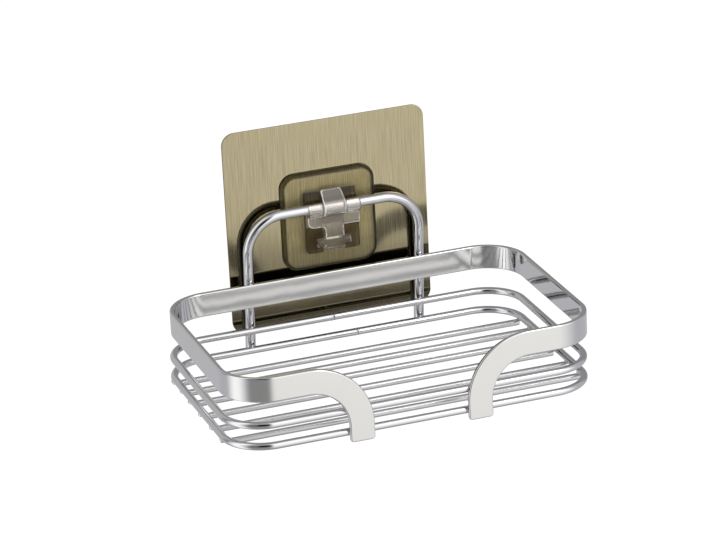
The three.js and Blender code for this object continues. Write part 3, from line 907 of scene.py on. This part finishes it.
# Painted shade: how far each point turns towards the wall, from 0 to 1.
turned_in = [(corner.normal.y - SHADE_START) / SHADE_SPAN for corner in hanger_mesh.vertices]
wall_shade = [min(1.0, max(0.0, amount)) for amount in turned_in]
hanger_mesh.attributes.new("painted_wall_shade", "FLOAT", "POINT").data.foreach_set("value", wall_shade)
finish_piece("hanger_wire", hanger_mesh, "basket", ["hanger"])

# %% [markdown]
# ## Rings
#
# Each ring is one wire bent to a rounded rectangle, with its two ends butt welded on the back run. The
# weld is a slight swelling with a pit in the middle, where the two ends met.

# %% Two wire rings
WELD_REACH = 1.3 * MM
WELD_SWELL = 0.13
WELD_PIT = 0.2
PIT_REACH = 0.25
WELD_STEPS = 24
RING_WELDS = {"upper_ring": -2.1 * MM, "lower_ring": 7.3 * MM}


def ring_run(node, weld_x):
    low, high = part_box(node)
    radius = (high.z - low.z) / 2
    bend = RIM_CORNER - radius
    middle_z = (low.z + high.z) / 2
    left, right = low.x + radius + bend, high.x - radius - bend
    front, back = low.y + radius + bend, high.y - radius - bend
    corners = ((left, back, 90), (left, front, 180), (right, front, 270), (right, back, 360))
    points = []
    for centre_x, centre_y, start in corners:
        points += arc(Vector((centre_x, centre_y, middle_z)), bend, start, start + 90, X, Y)
    swells = [1.0] * len(points)
    for step in range(WELD_STEPS + 1):
        along = 1 - 2 * step / WELD_STEPS
        points.append(Vector((weld_x + along * WELD_REACH, back + bend, middle_z)))
        hump = WELD_SWELL * (0.5 + 0.5 * math.cos(math.pi * along))
        swells.append(1 + hump - WELD_PIT * math.exp(-(along / PIT_REACH) ** 2))
    return (points, swells, True), radius


for node, weld_x in RING_WELDS.items():
    run, ring_radius = ring_run(node, weld_x)
    ring_mesh = bent_wire(node + "_wire", [run], ring_radius, chrome)
    finish_piece(node + "_wire", ring_mesh, "basket", [node])

# %% [markdown]
# ## Floor wires
#
# Six straight wires lie under the lower ring. They are one mesh, because they are one welded mat that
# moves with the basket, and each follows the box of its own CAD part.

# %% Floor wires
FLOOR_ROUNDING = 0.35 * MM

floor_nodes = sorted(name for name in frame["nodes"] if name.startswith("floor_wire"))
floor_runs = []
for node in floor_nodes:
    low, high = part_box(node)
    floor_radius = (high.z - low.z) / 2
    middle = (low + high) / 2
    ends = [Vector((low.x, middle.y, middle.z)), Vector((high.x, middle.y, middle.z))]
    floor_runs.append(rounded_run(ends, floor_radius, FLOOR_ROUNDING))
floor_mesh = bent_wire("floor_wires", floor_runs, floor_radius, floor_chrome)
finish_piece("floor_wires", floor_mesh, "basket", floor_nodes)

# %% [markdown]
# ## Weld beads
#
# Where two wires cross they are spot welded, which leaves a small uneven bead in the corner between
# them. The spots are bare points, and a second tree puts a bead on each: a small sphere, stretched by
# random amounts with a fixed seed. Its inputs are the bead's radius, how uneven the beads are, the seed
# and the finish.

# %% The weld bead tree
BEAD_FINENESS = 4

bead_tree, bead_in, bead_out = new_geometry_tree("weld_beads", [
    ("Bead Radius", "NodeSocketFloat"),
    ("Unevenness", "NodeSocketFloat"),
    ("Seed", "NodeSocketInt"),
    ("Finish", "NodeSocketMaterial"),
])
bead = add_node(bead_tree, "GeometryNodeMeshIcoSphere", values={
    "Subdivisions": BEAD_FINENESS, "Radius": bead_in["Bead Radius"],
})
stretch = add_node(bead_tree, "FunctionNodeRandomValue", {"data_type": "FLOAT_VECTOR"}, {
    "Min": maths(bead_tree, "SUBTRACT", 1.0, bead_in["Unevenness"]),
    "Max": maths(bead_tree, "ADD", 1.0, bead_in["Unevenness"]),
    "Seed": bead_in["Seed"],
})
scatter = add_node(bead_tree, "GeometryNodeInstanceOnPoints", values={
    "Points": bead_in["Path"], "Instance": bead.outputs["Mesh"], "Scale": stretch.outputs["Value"],
})
real_beads = add_node(bead_tree, "GeometryNodeRealizeInstances", values={
    "Geometry": scatter.outputs["Instances"],
})
bead_paint = add_node(bead_tree, "GeometryNodeSetMaterial", values={
    "Geometry": real_beads.outputs["Geometry"], "Material": bead_in["Finish"],
})
feed(bead_tree, bead_out["Mesh"], bead_paint.outputs["Geometry"])
print("weld_beads has", len(bead_tree.nodes), "nodes")

# %% Weld spots and beads
BEAD_RADIUS = 1.15 * MM
BEAD_UNEVENNESS = 0.22
BEAD_SEED = 7

spots = []
rim_leg_x = FRONT_GAP / 2 + RIM_HEIGHT / 2
ring_boxes = [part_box(node) for node in RING_WELDS]
for low, high in ring_boxes:
    middle_z = (low.z + high.z) / 2
    leg_centre = bar_centre + leg_down * (bar_centre.z - middle_z) / math.cos(HANGER_LEAN)
    leg_front = leg_centre.y - hanger_radius / math.cos(HANGER_LEAN)
    for side in (-1, 1):
        spots.append(Vector((side * leg_x, leg_front, middle_z)))
        spots.append(Vector((side * rim_leg_x, low.y, middle_z)))
ring_side = ring_boxes[-1][1].x - ring_radius
for node in floor_nodes:
    low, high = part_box(node)
    for side in (-1, 1):
        spots.append(Vector((side * ring_side, (low.y + high.y) / 2, high.z)))
spot_mesh = bpy.data.meshes.new("weld_spots")
spot_mesh.from_pydata(spots, [], [])
bead_mesh = grow("weld_beads", spot_mesh, bead_tree, {
    "Bead Radius": BEAD_RADIUS, "Unevenness": BEAD_UNEVENNESS, "Seed": BEAD_SEED, "Finish": chrome,
})
finish_piece("weld_beads", bead_mesh, "basket")
print(len(spots), "weld spots")

# %% [markdown]
# ## Rim band
#
# The band is a flat strip with softly rounded edges. Round the basket it bends the easy way, across its
# thickness. At the front both ends bend the hard way, edgewise, and come down as legs. A curve sweep
# would twist between the two kinds of bend, so the strip is lofted by hand: each station has a centre,
# the direction of its face and the direction of its width, and a rounded rectangle is laid out in those
# two directions. Smooth shading would make its flat faces look bulged, so each rounded corner has one
# more point on the flat beside it, which keeps the bulge there.

# %% Stations along the strip
STATION_DEGREES = 2.5
HALF_THICK = RIM_THICKNESS / 2
HALF_WIDE = RIM_HEIGHT / 2

arm_x = FRONT_GAP / 2 + FRONT_BEND
edge_bend = FRONT_BEND - HALF_WIDE
front_y = rim_low.y + HALF_THICK
band_z = rim_high.z - HALF_WIDE
corner_bend = RIM_CORNER - HALF_THICK
corner_x = rim_high.x - RIM_CORNER
corner_front = rim_low.y + RIM_CORNER
corner_back = rim_high.y - RIM_CORNER


def left_half_stations():
    """(centre, face, width) from the left leg's end to the middle of the back."""
    stations = [(Vector((-rim_leg_x, front_y, rim_low.z)), -Y, X)]
    count = round(90 / STATION_DEGREES)
    bend_centre = Vector((-arm_x, front_y, rim_high.z - FRONT_BEND))
    for step in range(count + 1):
        angle = math.pi / 2 * step / count
        out = Vector((math.cos(angle), 0, math.sin(angle)))
        stations.append((bend_centre + edge_bend * out, -Y, out))
    for centre_y, start in ((corner_front, 270), (corner_back, 180)):
        for step in range(count + 1):
            angle = math.radians(start - 90 * step / count)
            out = Vector((math.cos(angle), math.sin(angle), 0))
            stations.append((Vector((-corner_x, centre_y, band_z)) + corner_bend * out, out, Z))
    stations.append((Vector((0, rim_high.y - HALF_THICK, band_z)), Y, Z))
    return stations


def mirrored(vector):
    return Vector((-vector.x, vector.y, vector.z))


left_half = left_half_stations()
right_half = [tuple(mirrored(part) for part in station) for station in left_half[-2::-1]]
strip_stations = left_half + right_half
print(len(strip_stations), "stations")

# %% Section and loft
EDGE_RADIUS = 0.55 * MM
EDGE_STEPS = 5
FULL_ROUND = 0.98
FLAT_GUARD = 0.15 * MM
LEG_CORNER = 1.1 * MM
LEG_STEPS = 7
LEG_EDGE = 0.3 * MM
QUARTERS = ((1, 1, 0), (-1, 1, 90), (-1, -1, 180), (1, -1, 270))


def strip_section(half_thick, half_wide):
    """Points of a rounded rectangle: (towards the face, along the width)."""
    radius = min(EDGE_RADIUS, half_thick * FULL_ROUND)
    guard = min(FLAT_GUARD, (half_thick - radius) / 2)
    points = []
    for face_side, wide_side, start in QUARTERS:
        corner = []
        for step in range(EDGE_STEPS + 1):
            angle = math.radians(start + 90 * step / EDGE_STEPS)
            face = face_side * (half_thick - radius) + radius * math.cos(angle)
            wide = wide_side * (half_wide - radius) + radius * math.sin(angle)
            corner.append((face, wide))
        way = Vector((-math.sin(math.radians(start)), math.cos(math.radians(start))))
        turned = Vector((-way.y, way.x))
        before = Vector(corner[0]) - guard * way
        after = Vector(corner[-1]) + guard * turned
        points += [tuple(before)] + corner + [tuple(after)]
    return points


def leg_end(station, inward):
    """Extra stations that round the two corners of a leg's end. The first is the end itself."""
    centre, face, width = station
    rounded = []
    for step in range(LEG_STEPS):
        turn = math.pi / 2 * step / LEG_STEPS
        inset = LEG_CORNER * (1 - math.cos(turn))
        narrow = LEG_CORNER * (1 - math.sin(turn))
        thin = max(0.0, LEG_EDGE - inset)
        rounded.append(((centre + inward * inset, face, width), HALF_THICK - thin, HALF_WIDE - narrow))
    rounded.append(((centre + inward * LEG_CORNER, face, width), HALF_THICK, HALF_WIDE))
    return rounded


loft = leg_end(strip_stations[0], Z)
loft += [(station, HALF_THICK, HALF_WIDE) for station in strip_stations[1:-1]]
loft += leg_end(strip_stations[-1], Z)[::-1]
print(len(loft), "sections in the loft")

# %% Rim band mesh
strip = bmesh.new()
strip_uv = strip.loops.layers.uv.new("strip")
loops, travelled, previous = [], [], None
distance = 0.0
for (centre, face, width), half_thick, half_wide in loft:
    distance += (centre - previous).length if previous else 0.0
    previous = centre
    travelled.append(distance)
    flat = strip_section(half_thick, half_wide)
    loops.append([strip.verts.new(centre + a * face + b * width) for a, b in flat])
outline = strip_section(HALF_THICK, HALF_WIDE)
girth = [0.0]
for first, second in zip(outline, outline[1:] + outline[:1]):
    girth.append(girth[-1] + math.dist(first, second))
count = len(outline)
for ring in range(len(loops) - 1):
    for point in range(count):
        after = (point + 1) % count
        quad = (loops[ring][point], loops[ring + 1][point], loops[ring + 1][after], loops[ring][after])
        side = strip.faces.new(quad)
        along = (travelled[ring], travelled[ring + 1], travelled[ring + 1], travelled[ring])
        round_it = (girth[point], girth[point], girth[point + 1], girth[point + 1])
        for corner, u, v in zip(side.loops, along, round_it):
            corner[strip_uv].uv = (u, v)
strip.faces.new(loops[0])
strip.faces.new(loops[-1][::-1])
rim_mesh = from_form("rim_strip", strip, band_finish)
finish_piece("rim_strip", rim_mesh, "basket", ["rim_band"])
print("strip is", round(distance / MM, 1), "mm long")

# %% [markdown]
# ## Plate and adhesive
#
# Both are rounded squares with a fine edge. A helper stacks outlines of the same shape, each set in by
# a little, and joins them, which rounds the edge without any modifier. The first and last outlines lie
# on the flat faces, again so that smooth shading leaves those flat.

# %% Rounded slabs
SLAB_STEPS = 4
CORNER_DEGREES = 5
PLATE_EDGE = 0.15 * MM
GEL_EDGE = 0.3 * MM
GEL_INSET = 0.4 * MM


def rounded_square(half_side, corner, inset, y):
    points = []
    radius = corner - inset
    reach = half_side - corner
    for side_x, side_z, start in QUARTERS:
        centre = Vector((side_x * reach, y, side_z * reach))
        points += arc(centre, radius, start, start + 90, X, Z, CORNER_DEGREES)
    return points


def slab(name, low, high, corner, rounding, finish):
    half_side = (high.x - low.x) / 2
    layers = [(rounding + FLAT_GUARD, low.y)]
    for step in range(SLAB_STEPS + 1):
        turn = math.pi / 2 * step / SLAB_STEPS
        layers.append((rounding * (1 - math.sin(turn)), low.y + rounding * (1 - math.cos(turn))))
    layers += [(inset, low.y + high.y - y) for inset, y in layers[::-1]]
    form = bmesh.new()
    stack = []
    for inset, y in layers:
        stack.append([form.verts.new(point) for point in rounded_square(half_side, corner, inset, y)])
    size = len(stack[0])
    for under, over in zip(stack, stack[1:]):
        for point in range(size):
            after = (point + 1) % size
            form.faces.new((under[point], under[after], over[after], over[point]))
    form.faces.new(stack[0])
    form.faces.new(stack[-1][::-1])
    return from_form(name, form, finish)


plate_mesh = slab("brushed_plate", plate_low, plate_high, PLATE_CORNER, PLATE_EDGE, plate_finish)
finish_piece("brushed_plate", plate_mesh, "wall_mount", ["backing_plate"])
gel_mesh = slab("gel_sheet", gel_low, gel_high, PLATE_CORNER - GEL_INSET, GEL_EDGE, gel)
finish_piece("gel_sheet", gel_mesh, "wall_mount", ["adhesive_sheet"])

# %% [markdown]
# ## Clear clip
#
# The clip has the small radii of a moulding on every edge, and clear plastic shows them as bright and
# dark lines. The CAD solids of the base and the latch are exact, so each is copied, rebuilt as an even
# skin of small faces with a voxel remesh, and smoothed, which rounds all edges alike. On the latch, the
# faces of a rounded outer edge stand out of the line of their neighbours; those get the frosted finish,
# since the mould's edges leave the plastic a little dull. Its pale colour is also a painted highlight
# that stands in for the bright glints along those edges.
#
# The base is glued to the plate. Its back face is let in by a hair, so light goes from the plastic
# straight to the metal: with an air gap there, the clip would shine like an empty glass.

# %% Moulded copies
VOXEL = 0.24 * MM
SMOOTH_SHARE = 0.5
SMOOTH_ROUNDS = 7
SAME_PLACE = 0.001 * MM
GLUE_DEPTH = 0.08 * MM
EDGE_BULGE = 0.05
FROST_FRONT = -8.3 * MM
FROST_TOP = 5 * MM
FROST_FOOT = -4.0 * MM


def frost_edges(mesh):
    """Give the second material to faces on a sharp front edge, which bulge out of their neighbours."""
    mesh.materials.append(frosted_glint_edge)
    form = bmesh.new()
    form.from_mesh(mesh)
    bulge = {}
    for corner in form.verts:
        around = [edge.other_vert(corner).co for edge in corner.link_edges]
        sag = corner.co - sum(around, Vector()) / len(around)
        bulge[corner] = sag.dot(corner.normal) / VOXEL
    for face in form.faces:
        outer = sum(bulge[corner] for corner in face.verts) / len(face.verts)
        centre = face.calc_center_median()
        at_front = centre.z > FROST_TOP or (centre.y < FROST_FRONT and centre.z > FROST_FOOT)
        face.material_index = int(at_front and outer > EDGE_BULGE)
    form.to_mesh(mesh)
    form.free()


def moulded(node, name, finish):
    mesh = frame["nodes"][node].data.copy()
    form = bmesh.new()
    form.from_mesh(mesh)
    bmesh.ops.remove_doubles(form, verts=form.verts, dist=SAME_PLACE)
    form.to_mesh(mesh)
    form.free()
    holder = add_object(name, mesh)
    skin = holder.modifiers.new("skin", "REMESH")
    skin.mode = "VOXEL"
    skin.voxel_size = VOXEL
    soften = holder.modifiers.new("soften", "SMOOTH")
    soften.factor = SMOOTH_SHARE
    soften.iterations = SMOOTH_ROUNDS
    result = settle(holder)
    result.materials.clear()
    result.materials.append(finish)
    result.shade_smooth()
    return result


base_mesh = moulded("clip_base", "clear_clip_base", base_plastic)
for corner in base_mesh.vertices:
    if corner.co.y > clip_high.y - VOXEL:
        corner.co.y += GLUE_DEPTH
finish_piece("clear_clip_base", base_mesh, "wall_mount", ["clip_base"])
latch_mesh = moulded("clip_latch", "clear_latch", latch_plastic)
frost_edges(latch_mesh)
finish_piece("clear_latch", latch_mesh, "latch", ["clip_latch"])
